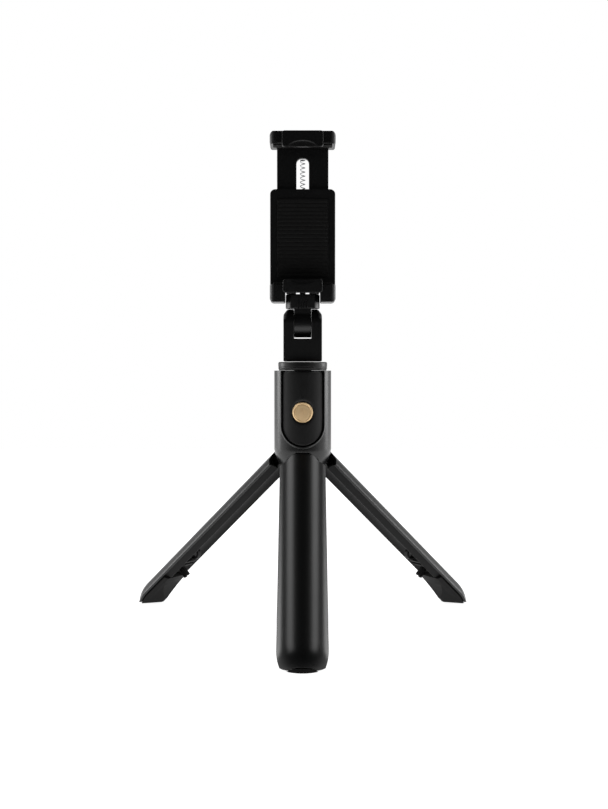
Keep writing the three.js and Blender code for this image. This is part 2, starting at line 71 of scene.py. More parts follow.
# %% Camera
CAMERA_RIGHT, CAMERA_BACK, CAMERA_HEIGHT = 0.67, 579.816, 128.52
CAMERA_PITCH = 0.029
camera_data = bpy.data.cameras.new("camera")
camera_data.lens = 50.0
camera_data.clip_start = 0.01
camera = bpy.data.objects.new("camera", camera_data)
camera.location = (CAMERA_RIGHT * MM, (AXIS_Y - CAMERA_BACK) * MM, CAMERA_HEIGHT * MM)
camera.rotation_euler = (math.pi / 2 - CAMERA_PITCH, 0, 0)
bpy.context.scene.collection.objects.link(camera)
bpy.context.scene.camera = camera
bpy.context.scene.view_settings.view_transform = "Standard"
print("camera at", [round(v, 4) for v in camera.location])


# %% Helpers that add nodes and fill their inputs
def fill(tree, node, **inputs):
    """Sets inputs to numbers and colours, or links them to outputs. _ stands for a space in a name."""
    for label, value in inputs.items():
        put(tree, node.inputs[label.replace("_", " ")], value)


def put(tree, socket, value):
    if isinstance(value, bpy.types.NodeSocket):
        tree.links.new(value, socket)
    else:
        socket.default_value = value


def add_node(tree, kind, **inputs):
    node = tree.nodes.new("ShaderNode" + kind)
    fill(tree, node, **inputs)
    return node


def math_node(tree, operation, *values, clamp=False):
    node = add_node(tree, "Math")
    node.operation, node.use_clamp = operation, clamp
    for socket, value in zip(node.inputs, values):
        put(tree, socket, value)
    return node.outputs[0]


# %% Room light: white to the eye, pale behind the stick and dim in front of it
def room():
    world = bpy.data.worlds.new("studio")
    world.use_nodes = True
    tree = world.node_tree
    tree.nodes.clear()
    place = add_node(tree, "TexCoord").outputs["Generated"]
    parts = add_node(tree, "SeparateXYZ", Vector=place).outputs
    depth = add_node(tree, "MapRange", Value=parts["Y"], From_Min=-1)
    ramp = add_node(tree, "ValToRGB", Fac=depth.outputs[0])
    stops = [(0.0, 0.03), (0.2, 0.2), (0.4, 0.75), (0.6, 0.85), (1.0, 0.55)]
    for i, (at, level) in enumerate(stops):
        stop = ramp.color_ramp.elements[i] if i < 2 else ramp.color_ramp.elements.new(at)
        stop.position = at
        stop.color = (level, level, level, 1)
    ceiling = add_node(tree, "MapRange", Value=parts["Z"], From_Min=0.12, From_Max=0.55,
                       To_Min=1.0, To_Max=0.03)
    ceiling.interpolation_type = "SMOOTHSTEP"
    level = math_node(tree, "MULTIPLY", ramp.outputs[0], ceiling.outputs[0])
    seen = add_node(tree, "LightPath").outputs["Is Camera Ray"]
    shown = add_node(tree, "Mix", Factor=seen, A=level, B=1.0)
    back = add_node(tree, "Background", Color=(1, 1, 1, 1), Strength=shown.outputs[0])
    add_node(tree, "OutputWorld", Surface=back.outputs[0])
    bpy.context.scene.world = world


room()


# %% Softboxes and floor
AIM_HEIGHT = 0.13


def softbox(name, place, width, height, power):
    """A rectangular light at place, in metres, that faces the middle of the stick."""
    data = bpy.data.lights.new(name, "AREA")
    data.shape = "RECTANGLE"
    data.size, data.size_y = width, height
    data.energy = power
    lamp = bpy.data.objects.new(name, data)
    lamp.location = place
    toward = lamp.location.copy()
    toward.z -= AIM_HEIGHT
    lamp.rotation_mode = "QUATERNION"
    lamp.rotation_quaternion = toward.to_track_quat("Z", "Y")
    lamp.visible_camera = False
    bpy.context.scene.collection.objects.link(lamp)


for side in (-1, 1):
    softbox(f"side_{side}", (side * 1.15, 0.50, 0.32), 0.42, 0.56, 3.4)
    softbox(f"over_{side}", (side * 0.78, 0.09, 1.08), 1.2, 0.40, 4.4)

floor_mesh = bpy.data.meshes.new("floor")
FLOOR, FLOOR_FRONT, FLOOR_BACK = 1.5, -0.32, 1.3
floor_mesh.from_pydata(
    [(-FLOOR, FLOOR_FRONT, 0), (FLOOR, FLOOR_FRONT, 0), (FLOOR, FLOOR_BACK, 0), (-FLOOR, FLOOR_BACK, 0)],
    [], [(0, 1, 2, 3)])
floor = bpy.data.objects.new("floor", floor_mesh)
floor.location.z = -0.0002
bpy.context.scene.collection.objects.link(floor)

# %% [markdown]
# ## Effects that several finishes share
# Three node groups are built once. Moulded skin is the fine texture that a mould leaves, with slow
# changes of gloss where hands and flow lines have been. Rub marks are thin light scratches. Dust is
# a pale film that settles on faces that look up. Each material then gives them its own values.

# %% Helpers for groups, noise and places
def new_group(name, inputs, outputs):
    group = bpy.data.node_groups.new(name, "ShaderNodeTree")
    for label, value in inputs:
        kind = "NodeSocketColor" if isinstance(value, tuple) else "NodeSocketFloat"
        group.interface.new_socket(name=label, in_out="INPUT", socket_type=kind).default_value = value
    for label, kind in outputs:
        group.interface.new_socket(name=label, in_out="OUTPUT", socket_type=kind)
    return group, group.nodes.new("NodeGroupInput"), group.nodes.new("NodeGroupOutput")


def stretched(tree, value, middle, gain, clamp=False):
    """How far value is from a middle, times a gain."""
    return math_node(tree, "MULTIPLY", math_node(tree, "SUBTRACT", value, middle), gain, clamp=clamp)


def noise(tree, vector, scale, detail=2.0, roughness=0.5):
    values = {"Vector": vector, "Scale": scale, "Detail": detail, "Roughness": roughness}
    return add_node(tree, "TexNoise", **values).outputs[0]


def object_place(tree, stretch=(1, 1, 1), shift=(0, 0, 0)):
    place = add_node(tree, "TexCoord").outputs["Object"]
    return add_node(tree, "Mapping", Vector=place, Location=shift, Scale=stretch).outputs[0]


# %% Moulded skin, rub marks and dust
def moulded_skin():
    tree, given, out = new_group(
        "moulded skin",
        [("Grain scale", 2500.0), ("Roughness", 0.4), ("Mottle", 0.1)],
        [("Height", "NodeSocketFloat"), ("Roughness", "NodeSocketFloat")])
    place = object_place(tree)
    grain = noise(tree, place, given.outputs["Grain scale"], 3.0, 0.6)
    slow = noise(tree, place, 55.0, 4.0, 0.62)
    swing = stretched(tree, slow, 0.5, given.outputs["Mottle"])
    changed = math_node(tree, "ADD", given.outputs["Roughness"], swing)
    rough = math_node(tree, "ADD", changed, stretched(tree, grain, 0.5, 0.08), clamp=True)
    fill(tree, out, Height=grain, Roughness=rough)
    return tree


def rub_marks():
    tree, given, out = new_group("rub marks", [("Amount", 0.3)], [("Mask", "NodeSocketFloat")])
    masks = []
    for stretch in ((1.0, 1.0, 0.035), (0.05, 1.0, 1.0)):
        lines = noise(tree, object_place(tree, stretch), 900.0, 2.0, 0.55)
        masks.append(stretched(tree, lines, 0.66, 9.0, clamp=True))
    patch = stretched(tree, noise(tree, object_place(tree), 38.0, 3.0), 0.46, 5.0, clamp=True)
    both = math_node(tree, "MULTIPLY", math_node(tree, "MAXIMUM", *masks), patch)
    fill(tree, out, Mask=math_node(tree, "MULTIPLY", both, given.outputs["Amount"]))
    return tree


def dust_film():
    tree, given, out = new_group("dust film", [("Amount", 0.1)], [("Mask", "NodeSocketFloat")])
    parts = add_node(tree, "SeparateXYZ", Vector=add_node(tree, "TexCoord").outputs["Normal"])
    up = stretched(tree, parts.outputs["Z"], 0.15, 1.3, clamp=True)
    specks = stretched(tree, noise(tree, object_place(tree), 420.0, 5.0, 0.7), 0.4, 2.6, clamp=True)
    both = math_node(tree, "MULTIPLY", up, specks)
    fill(tree, out, Mask=math_node(tree, "MULTIPLY", both, given.outputs["Amount"]))
    return tree


SKIN, MARKS, DUST = moulded_skin(), rub_marks(), dust_film()
print("shared effects", [g.name for g in bpy.data.node_groups])

# %% [markdown]
# ## The finishes
# All the plastics are near black and differ in gloss: the collar and the legs are smooth, the remote
# and the clamp are satin, the inner channels are matt, and the pads and toes are rubber.
# One function makes them, so that their differences are the values in its call.


# %% Plastic and rubber
def use_group(tree, group, **values):
    node = add_node(tree, "Group")
    node.node_tree = group
    for label, value in values.items():
        node.inputs[label.replace("_", " ").capitalize()].default_value = value
    return node.outputs


def mix_colour(tree, mask, a, b):
    node = add_node(tree, "Mix")
    node.data_type = "RGBA"
    for index, value in ((0, mask), (6, a), (7, b)):
        put(tree, node.inputs[index], (*value, 1) if isinstance(value, tuple) else value)
    return node.outputs[2]


def bare_material(name):
    material = bpy.data.materials.new(name)
    material.use_nodes = True
    shader = material.node_tree.nodes["Principled BSDF"]
    return material, material.node_tree, shader


def dress(tree, shader, colour, roughness, height, distance):
    """Wires a finish to its shader: colour, roughness and the height of its fine relief."""
    relief = add_node(tree, "Bump", Height=height, Distance=distance, Strength=1.0)
    fill(tree, shader, Base_Color=colour, Roughness=roughness, Normal=relief.outputs[0])


def moulded(name, colour, roughness, grain=2500.0, depth=4e-6, mottle=0.1, rub=0.25, dust=0.1, shine=0.5):
    material, tree, shader = bare_material(name)
    skin = use_group(tree, SKIN, grain_scale=grain, roughness=roughness, mottle=mottle)
    marks = use_group(tree, MARKS, amount=rub)["Mask"]
    film = use_group(tree, DUST, amount=dust)["Mask"]
    tone = noise(tree, object_place(tree), 24.0, 3.0)
    deep = tuple(c * 0.72 for c in colour)
    body = mix_colour(tree, tone, deep, tuple(c * 1.25 for c in colour))
    rubbed = mix_colour(tree, marks, body, tuple(0.035 + c for c in colour))
    dusty = mix_colour(tree, film, rubbed, (0.16, 0.155, 0.145))
    raised = math_node(tree, "ADD", skin["Roughness"], math_node(tree, "MULTIPLY", marks, 0.25), clamp=True)
    dull = math_node(tree, "ADD", raised, math_node(tree, "MULTIPLY", film, 0.6), clamp=True)
    dress(tree, shader, dusty, dull, skin["Height"], depth)
    fill(tree, shader, IOR=1.5, Specular_IOR_Level=shine)
    return material


GLOSS = moulded("gloss black plastic", (0.0034, 0.0035, 0.0037), 0.28, 1800.0, 1.0e-6, 0.04, 0.08, 0.015)
LEG = moulded("leg black plastic", (0.0030, 0.0031, 0.0032), 0.30, 2200.0, 1.2e-6, 0.04, 0.08, 0.012, 0.42)
SATIN = moulded("satin black plastic", (0.0030, 0.0030, 0.0032), 0.36, 3200.0, 3e-6, 0.06, 0.12, 0.02)
REMOTE = moulded("remote soft touch", (0.0034, 0.0034, 0.0036), 0.42, 4200.0, 3e-6, 0.06, 0.1, 0.02, 0.38)
MATT = moulded("matt black plastic", (0.0036, 0.0036, 0.0036), 0.56, 3000.0, 6e-6, 0.10, 0.1, 0.03, 0.18)
RUBBER = moulded("black rubber", (0.0050, 0.0049, 0.0048), 0.72, 1900.0, 1.0e-5, 0.12, 0.1, 0.06, 0.18)


# %% Metals, the gilt button and the circuit board
def metal(name, colour, roughness, stretch, scale=1400.0, depth=1.2e-6):
    """Drawn or turned metal: noise stretched along the tool's path gives the lines."""
    material, tree, shader = bare_material(name)
    lines = noise(tree, object_place(tree, stretch), scale, 4.0, 0.65)
    skin = use_group(tree, SKIN, grain_scale=1200.0, roughness=roughness, mottle=0.12)
    tone = mix_colour(tree, lines, tuple(c * 0.82 for c in colour), colour)
    spread = math_node(tree, "ADD", skin["Roughness"], stretched(tree, lines, 0.5, 0.16), clamp=True)
    dress(tree, shader, tone, spread, lines, depth)
    fill(tree, shader, Metallic=1.0)
    return material


TUBE_STEEL = metal("drawn steel tube", (0.60, 0.61, 0.62), 0.24, (1, 1, 0.02))
SCREW_STEEL = metal("zinc plated screw", (0.42, 0.43, 0.45), 0.34, (1, 1, 1), 2600.0)
SPRING_STEEL = metal("spring wire", (0.34, 0.35, 0.37), 0.30, (1, 1, 1), 3000.0)


RING_STEP = 0.00021


def gilt(name, centre):
    """Rings round the button's own axis: the sine of the distance from it, as a turning tool leaves."""
    material, tree, shader = bare_material(name)
    parts = add_node(tree, "SeparateXYZ", Vector=object_place(tree, shift=tuple(-c for c in centre)))
    across = math_node(tree, "POWER", parts.outputs["X"], 2.0)
    upward = math_node(tree, "POWER", parts.outputs["Z"], 2.0)
    radius = math_node(tree, "SQRT", math_node(tree, "ADD", across, upward))
    rings = math_node(tree, "SINE", math_node(tree, "MULTIPLY", radius, 2 * math.pi / RING_STEP))
    share = math_node(tree, "MULTIPLY", math_node(tree, "ADD", rings, 1.0), 0.5)
    skin = use_group(tree, SKIN, grain_scale=1500.0, roughness=0.45, mottle=0.10)
    gold = mix_colour(tree, share, (0.84, 0.58, 0.31), (0.95, 0.70, 0.40))
    dress(tree, shader, gold, skin["Roughness"], rings, 2.2e-6)
    fill(tree, shader, Metallic=0.45)
    return material


def circuit_board(name):
    material, tree, shader = bare_material(name)
    weave = noise(tree, object_place(tree), 900.0, 2.0)
    green = mix_colour(tree, weave, (0.008, 0.045, 0.02), (0.016, 0.085, 0.035))
    skin = use_group(tree, SKIN, grain_scale=1400.0, roughness=0.35, mottle=0.2)
    dress(tree, shader, green, skin["Roughness"], weave, 8e-6)
    return material


def pale_floor():
    material, tree, shader = bare_material("pale floor")
    tone = noise(tree, object_place(tree), 1.5, 2.0)
    pale = mix_colour(tree, tone, (0.93, 0.93, 0.93), (0.96, 0.96, 0.96))
    fill(tree, shader, Base_Color=pale, Roughness=0.8, Specular_IOR_Level=0.2,
         Emission_Color=(1, 1, 1, 1), Emission_Strength=0.92)
    return material


button_low, button_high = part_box("remote_button")
BUTTON_Z = (button_low.z + button_high.z) / 2 / MM
GOLD = gilt("gilt button", (0, AXIS_Y * MM, BUTTON_Z * MM))
BOARD = circuit_board("circuit board")
floor_mesh.materials.append(pale_floor())
print("finishes", sorted(m.name for m in bpy.data.materials if m.use_nodes))

# %% [markdown]
# ## Tools for shapes
# A piece is one or more skins. A skin is a stack of closed loops with the same number of points,
# joined by four-sided faces. That one idea covers turned parts, mouldings with rounded edges and
# pipes, and whole arrays of points are worked out at a time. The mesh is then welded and its
# faces are turned outwards, and a solid can be cut from another where a hole is needed.


# %% Loops, skins and outlines
def skin(loops, closed=False):
    """Joins each loop of points to the next. closed joins the last to the first, else the ends are capped."""
    loops = np.asarray(loops, float)
    rows, columns = loops.shape[:2]
    r = np.arange(rows if closed else rows - 1)[:, None]
    c = np.arange(columns)[None, :]
    after_r, after_c = (r + 1) % rows, (c + 1) % columns
    corners = [r * columns + c, r * columns + after_c, after_r * columns + after_c, after_r * columns + c]
    faces = np.stack(corners, -1).reshape(-1, 4).tolist()
    if not closed:
        faces.append(list(range(columns))[::-1])
        faces.append(list(range((rows - 1) * columns, rows * columns)))
    return loops.reshape(-1, 3), faces


def together(*skins):
    """Several skins as one: the later ones' face numbers are moved on by the points before them."""
    points, faces, count = [], [], 0
    for p, f in skins:
        points.append(p)
        faces += [[i + count for i in face] for face in f]
        count += len(p)
    return np.concatenate(points), faces


def rounded(corners, steps=5, least=0.1):
    """A closed outline of (a, b, radius) corners, each an arc, as a rational curve of degree two."""
    given = np.array([(*c, 0)[:3] for c in corners], float)
    point, radius = given[:, :2], np.maximum(given[:, 2], least)
    before, after = np.roll(point, 1, 0) - point, np.roll(point, -1, 0) - point
    before /= np.linalg.norm(before, axis=1)[:, None]
    after /= np.linalg.norm(after, axis=1)[:, None]
    half = np.arccos(np.clip((before * after).sum(1), -1, 1)) / 2
    reach = (radius / np.tan(half))[:, None]
    weight = np.sin(half)[:, None, None]
    t = np.linspace(0, 1, steps)[None, :, None]
    first, last, middle = (1 - t) ** 2, t ** 2, 2 * t * (1 - t) * weight
    start, end = (point + before * reach)[:, None], (point + after * reach)[:, None]
    over = first * start + middle * point[:, None] + last * end
    return (over / (first + middle + last)).reshape(-1, 2)


def inset(outline, distance):
    """Moves an anticlockwise outline inwards, along the mitre of its two edges at each point."""
    edge = np.roll(outline, -1, 0) - outline
    normal = np.stack([edge[:, 1], -edge[:, 0]], 1) / np.linalg.norm(edge, axis=1)[:, None]
    last = np.roll(normal, 1, 0)
    return outline - (normal + last) / (1 + (normal * last).sum(1))[:, None] * distance


ORDER = {"xy": (0, 1, 2), "xz": (0, 2, 1), "yz": (2, 0, 1)}


def lift(outline, along, plane):
    """Puts a flat outline drawn in plane at a distance along the third axis."""
    flat = np.column_stack([outline, np.broadcast_to(along, len(outline))])
    return flat[:, ORDER[plane]]


def edge_loops(outline, low, high, plane, edge, steps):
    """An outline carried from low to high. Its ends shrink along a quarter circle, so the edges are round."""
    quarter = np.linspace(0, np.pi / 2, steps)
    shrink, along = edge * (1 - np.sin(quarter)), edge * (1 - np.cos(quarter))
    start = [lift(inset(outline, s), low + a, plane) for s, a in zip(shrink, along)]
    return start + [lift(inset(outline, s), high - a, plane) for s, a in zip(shrink[::-1], along[::-1])]


def prism(outline, low, high, plane="xz", edge=0.4, steps=4):
    return skin(edge_loops(outline, low, high, plane, edge, steps))


def ring_prism(outer, inner, low, high, plane="xz", edge=0.3, steps=3):
    """A prism with a hole: up the outside and down the inside, closed on itself."""
    loops = edge_loops(outer, low, high, plane, edge, steps)
    return skin(loops + [lift(inner, high, plane), lift(inner, low, plane)], closed=True)


def full_turn(count):
    return np.arange(count) / count * 2 * np.pi


def symmetric(right, steps):
    """A rounded outline from its right half's corners, from the bottom up. The left half is their mirror."""
    return rounded(right + [(-x, *rest) for x, *rest in right[::-1]], steps)


def circle(radius, count=64, centre=(0, 0)):
    turn = full_turn(count)
    return np.stack([centre[0] + radius * np.cos(turn), centre[1] + radius * np.sin(turn)], 1)


def turned(profile, count=96, axis="z", centre=(0, 0), steps=4):
    """A profile of (radius, height, corner radius) points carried once round an axis."""
    outline = rounded(profile, steps, 0.004)
    turn = full_turn(count)
    across = outline[:, 0][:, None] * np.cos(turn) + centre[0]
    upward = outline[:, 0][:, None] * np.sin(turn) + centre[1]
    along = np.broadcast_to(outline[:, 1][:, None], across.shape)
    order = ORDER[{"z": "xy", "y": "xz", "x": "yz"}[axis]]
    loops = np.stack([across, upward, along], -1)[..., order]
    return skin(loops, closed=True)


# %% From skins to objects that ride on the frame
def mesh_object(name, shape):
    """Makes the object, welds doubled points and turns every closed skin's faces outwards."""
    points, faces = shape
    mesh = bpy.data.meshes.new(name)
    mesh.from_pydata(((points + [0, AXIS_Y, 0]) * MM).tolist(), [], faces)
    obj = bpy.data.objects.new(name, mesh)
    bpy.context.scene.collection.objects.link(obj)
    tidy_mesh(mesh)
    return obj


def tidy_mesh(mesh):
    work = bmesh.new()
    work.from_mesh(mesh)
    bmesh.ops.remove_doubles(work, verts=work.verts, dist=2e-6)
    bmesh.ops.recalc_face_normals(work, faces=work.faces)
    work.to_mesh(mesh)
    work.free()


def combine(obj, other_shape, operation="DIFFERENCE"):
    """Adds a solid to obj, or cuts it away, and keeps the result as obj's mesh."""
    other = mesh_object("tool", other_shape)
    modifier = obj.modifiers.new("cut", "BOOLEAN")
    modifier.operation, modifier.object, modifier.solver = operation, other, "EXACT"
    bpy.context.view_layer.update()
    shaped = obj.evaluated_get(bpy.context.evaluated_depsgraph_get())
    result = bpy.data.meshes.new_from_object(shaped)
    obj.modifiers.clear()
    obj.data = result
    bpy.data.objects.remove(other)
    return obj


def finish(obj, material, body, slot, *nodes, bevel=0.0, sharp=38.0):
    """Shades the piece, gives it its finish, ties it to its body and hides the frame nodes it stands for."""
    mesh = obj.data
    mesh.materials.clear()
    mesh.materials.append(material)
    mesh.shade_smooth()
    mesh.set_sharp_from_angle(angle=math.radians(sharp))
    if bevel:
        soften = obj.modifiers.new("soft edges", "BEVEL")
        soften.width, soften.segments = bevel * MM, 2
        soften.limit_method, soften.angle_limit = "ANGLE", math.radians(sharp)
        soften.harden_normals = False
    even = obj.modifiers.new("even shading", "WEIGHTED_NORMAL")
    even.keep_sharp = True
    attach(obj, body)
    if nodes:
        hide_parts(*nodes)
    print(f"{obj.name}: {len(mesh.vertices)} points, rides {body}")
    return obj


def piece(name, shape, *rest, **edges):
    return finish(mesh_object(name, shape), *rest, **edges)


print("shape tools ready")

# %% [markdown]
# ## The collar
# The glossy collar is a tube that rounds in to a rim at its foot, with a deep U cut for the remote
# and three bell-shaped notches that the legs swing through. Its skin is ruled between two edge
# lines: the top edge dips round the U, and the bottom edge climbs over each notch. The radius
# is then a function of height, with a low bead along the U, which catches the light.

# %% Collar skin
COLLAR_R, COLLAR_WALL, COLLAR_TOP = 14.65, 1.5, 129.2
BOWL_TOP, RIM_Z, RIM_R = 89.2, 81.4, 12.1
POCKET_HALF, REMOTE_ROUND_Z = 10.7, 101.3
BACK_STEPS, SIDE_STEPS = 90, 60
BEAD_HEIGHT, BEAD_OFF, BEAD_WIDTH = 0.42, 0.12, 0.38
NOTCH_ACROSS = [0, 3.1, 3.9, 4.9, 6.2, 7.7, 9.8]
NOTCH_HEIGHT = [87.8, 87.75, 87.1, 86.0, 85.2, 84.4, 80.4]
LEG_TURNS = {"front": 0.0, "right": 120.0, "left": 240.0}


def bowl_radius(z):
    """The collar's radius: constant, then falling with the square of the depth below the bowl's top."""
    depth = np.clip((BOWL_TOP - z) / (BOWL_TOP - RIM_Z), 0, 1)
    return COLLAR_R - (COLLAR_R - RIM_R) * depth ** 2


def rim_height(angle):
    """The bottom edge: the rim, or the notch above it where a leg's tongue passes."""
    height = np.full_like(angle, RIM_Z)
    for turn in LEG_TURNS.values():
        off = np.angle(np.exp(1j * (angle - np.radians(turn))))
        near = np.abs(off) < 1.2
        across = np.where(near, 13.3 * np.abs(np.sin(off)), 99)
        height = np.maximum(height, np.interp(across, NOTCH_ACROSS, NOTCH_HEIGHT))
    return height


def collar_shell():
    corner = np.arcsin(POCKET_HALF / COLLAR_R)
    ease = lambda a, b, n: a + (b - a) * np.linspace(0, 1, n, endpoint=False)
    back_top = -corner - (np.pi - corner) * ease(1, 0, BACK_STEPS) ** 1.6
    side_z = ease(COLLAR_TOP, REMOTE_ROUND_Z, SIDE_STEPS)
    arc = np.linspace(-np.pi / 2, 0, 48)
    arc_angle = -np.arcsin(POCKET_HALF * -np.sin(arc) / COLLAR_R)
    top_angle = np.concatenate([back_top, np.full(SIDE_STEPS, -corner), arc_angle])
    arc_z = REMOTE_ROUND_Z - POCKET_HALF * np.cos(arc)
    top_z = np.concatenate([np.full(BACK_STEPS, COLLAR_TOP), side_z, arc_z])
    spread = np.radians(74.0)
    low_angle = np.concatenate([
        -np.pi + (np.pi - spread) * (np.pi + back_top) / (np.pi - corner),
        ease(-spread, -corner, SIDE_STEPS), arc_angle])
    top_angle, low_angle = (np.concatenate([a, -a[-2:0:-1]]) for a in (top_angle, low_angle))
    top_z = np.concatenate([top_z, top_z[-2:0:-1]])
    share = np.linspace(0, 1, 110)[:, None]
    angle = top_angle + (low_angle - top_angle) * share
    z = top_z + (rim_height(low_angle) - top_z) * share
    radius = bowl_radius(z)
    x = radius * np.sin(angle)
    off_u = np.where(z > REMOTE_ROUND_Z, np.abs(x), np.hypot(x, z - REMOTE_ROUND_Z)) - POCKET_HALF
    in_front = (np.cos(angle) > 0) & (off_u < 4)
    bead = np.where(in_front, BEAD_HEIGHT * np.exp(-((off_u - BEAD_OFF) / BEAD_WIDTH) ** 2), 0)
    outside = np.stack([(radius + bead) * np.sin(angle), -(radius + bead) * np.cos(angle), z], -1)
    few = np.linspace(1, 0, 12)[:, None]
    angle = top_angle + (low_angle - top_angle) * few
    z = top_z + (rim_height(low_angle) - top_z) * few
    radius = bowl_radius(z) - COLLAR_WALL
    inside = np.stack([radius * np.sin(angle), -radius * np.cos(angle), z], -1)
    return skin(np.concatenate([outside, inside]), closed=True)


piece("collar", collar_shell(), GLOSS, "grip", "gloss_black", "collar_shell", bevel=0.3)

# %% [markdown]
# ## What the collar holds
# Below and inside the collar are the fixed sleeve, which hangs between the legs, its end cap and
# the flat cap at the top. They are turned parts, so each is a profile carried round the axis.

# %% Sleeve, caps and telescopic tubes
SLEEVE_R = 7.3
piece("inner_sleeve", turned([
    (SLEEVE_R - 0.45, 10.6), (SLEEVE_R, 10.6, 0.15), (SLEEVE_R, 127.2, 0.15), (SLEEVE_R - 0.45, 127.2)]),
    SATIN, "grip", "satin_black", "sleeve")
piece("sleeve_end", turned([
    (0, 8.4), (SLEEVE_R - 0.6, 8.4, 0.5), (SLEEVE_R, 9.1, 0.4), (SLEEVE_R, 10.3, 0.15), (6.5, 10.3, 0.05),
    (6.5, 13.5, 0.3), (0, 13.5)]), MATT, "grip", "matt_black", "sleeve_cap")

cap_outer = circle(12.7, 128)
cap_outer[:, 1] = np.maximum(cap_outer[:, 1], -8.0)
piece("collar_top", ring_prism(cap_outer, circle(7.0, 128), 127.6, 129.0, "xy", 0.001),
      SATIN, "grip", "satin_black", "collar_cap", bevel=0.2)

for number in range(1, 6):
    low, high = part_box(f"tube_{number}")
    outer = (high.x - low.x) / 2 / MM
    bottom, top = low.z / MM, high.z / MM
    piece(f"section_{number}", turned([
        (outer - 0.4, bottom), (outer, bottom, 0.1), (outer, top - 1.2, 0.4), (outer - 0.1, top, 0.12),
        (outer - 0.4, top, 0.1)], 80), TUBE_STEEL, f"tube_{number}", "steel", f"tube_{number}")

# %% [markdown]
# ## The legs
# Each leg is a third of a tube. It is drawn closed, hanging beside the stick, and then swung out
# about its hinge pin and turned to its side. The glossy skin is a grid of angle and height with a
# tongue on top. Inside it lies a box-shaped channel that fits round the sleeve, and the rubber
# toe at the end is a slice of a round foot whose lower face lies flat on the ground.

# %% Swinging a leg out
HINGE_R, HINGE_Z = 10.38, 86.38
SPLAY = math.radians(47.47)
LEG_R, LEG_WALL, LEG_HALF = 14.18, 1.3, math.radians(54.9)
SHELL_END, LINER_END = 125.2, 99.4
NOSE_START, NOSE_DEPTH = 114.0, 3.2
CHANNEL_R = LEG_R - LEG_WALL - 0.38
TOE_INNER = -0.95


def swing(shape, turn):
    """Tilts a closed leg by the splay angle about its pin, then turns it round the stick."""
    points, faces = shape
    y, z = points[:, 1] + HINGE_R, points[:, 2] - HINGE_Z
    c, s = math.cos(-SPLAY), math.sin(-SPLAY)
    y, z = y * c - z * s - HINGE_R, y * s + z * c + HINGE_Z
    c, s = math.cos(math.radians(turn)), math.sin(math.radians(turn))
    return np.stack([points[:, 0] * c - y * s, points[:, 0] * s + y * c, z], 1), faces


def ground_at(y):
    """How far below the pin, along the closed leg, the ground cuts a fibre at this y."""
    return (HINGE_Z + math.sin(SPLAY) * (-y - HINGE_R)) / math.cos(SPLAY)


def nose(radius, distance):
    """The radius of a fibre of the skin, which rounds in towards the leg's lower end."""
    return radius - NOSE_DEPTH * np.clip((distance - NOSE_START) / (SHELL_END - NOSE_START), 0, 1) ** 2.5


# %% Leg skin
def skin_grid(radius, angle, top):
    """The skin's surface at a radius: it ends at the rim, or just above the ground where that comes first."""
    end = np.full_like(angle, SHELL_END)
    for _ in range(6):
        end = np.minimum(SHELL_END, ground_at(-nose(radius, end) * np.cos(angle)) - 1.0)
    distance = top + (end - top) * (1 - (1 - np.linspace(0, 1, 72)[:, None]) ** 1.5)
    around = nose(radius, distance)
    return np.stack([around * np.sin(angle), -around * np.cos(angle), HINGE_Z - distance], -1)


def leg_skin():
    across = np.sin(np.linspace(-1, 1, 96) * np.pi / 2) * 0.35 + np.linspace(-1, 1, 96) * 0.65
    angle = across * LEG_HALF
    x = LEG_R * np.sin(angle)
    top = np.interp(np.abs(x), [0, 4.4, 5.4, 6.4, 8.2, 9.0, 12], [2.5, 2.55, 2.8, 3.6, 5.35, 5.6, 5.65])
    outside, inside = (skin_grid(radius, angle, top) for radius in (LEG_R, LEG_R - LEG_WALL))
    # A section goes out along the skin's outside and back along its inside, at each height.
    return skin(np.concatenate([outside, inside[:, ::-1]], axis=1))


# %% Channel, hinge, ribs and catches inside the leg
def arc_points(radius, half, count, reverse=False):
    angle = np.linspace(-half, half, count)
    angle = angle[::-1] if reverse else angle
    return np.stack([radius * np.sin(angle), -radius * np.cos(angle)], 1)


def channel():
    half = math.radians(50)
    outer = arc_points(CHANNEL_R, half, 26)
    inner = arc_points(SLEEVE_R + 0.5, half, 26, True)
    corners = np.zeros((52, 3))
    corners[:, :2] = np.concatenate([outer, inner])
    corners[[0, 25, 26, 51], 2] = 0.55
    section = rounded(corners, 4, 0.01)
    low, high = HINGE_Z - LINER_END, HINGE_Z - 5.6
    loops = [lift(inset(section, s), h, "xy") for s, h in (
        (0.3, low), (0.0, low + 0.3), (0.0, high - 0.3), (0.3, high), (1.1, high), (1.15, high - 0.6),
        (1.15, low + 0.6), (1.1, low))]
    return skin(loops, closed=True)


def hinge_knuckle():
    eye = turned([(1.45, -3.4), (2.3, -3.4, 0.25), (2.3, 3.4, 0.25), (1.45, 3.4)], 40, "x",
                 (-HINGE_R, HINGE_Z))
    neck = prism(rounded([(-12.2, 79.6), (-HINGE_R + 2.0, 79.6), (-HINGE_R + 2.0, 85.0, 0.5),
                          (-HINGE_R - 1.6, 84.9, 0.4), (-12.2, 83.0, 0.5)]), -3.4, 3.4, "yz", 0.25)
    return together(eye, neck)


